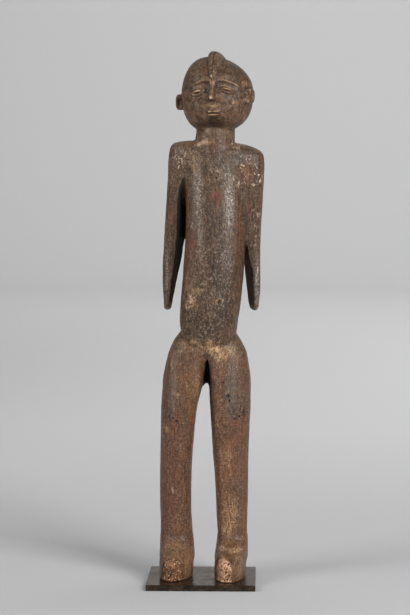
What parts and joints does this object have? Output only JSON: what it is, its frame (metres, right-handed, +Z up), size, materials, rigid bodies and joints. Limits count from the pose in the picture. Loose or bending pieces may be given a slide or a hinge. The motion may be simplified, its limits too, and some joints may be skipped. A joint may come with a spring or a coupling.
{
  "type": "carved wooden figure on a steel plate",
  "caption": "Standing carved wooden figure with a crested round head, a columnar trunk, arms held at its sides and block feet with broken toes, mounted on a thin steel plate.",
  "frame": {"origin": "centre of the steel plate's underside", "axes": "+Z up, the plate's edges along X and Y, the figure facing -Y with its head and feet turned a little towards -X"},
  "size_m": [0.1183, 0.105, 0.5418],
  "materials": {
    "carved_wood": "old dark brown patina, worn and dusty, with a low gloss on the chest and raw orange-brown breaks at the toes",
    "dark_steel": "browned dark steel, satin"
  },
  "bodies": {
    "root": {"figure": "carved_wood", "base_plate": "dark_steel"}
  },
  "joints": []
}
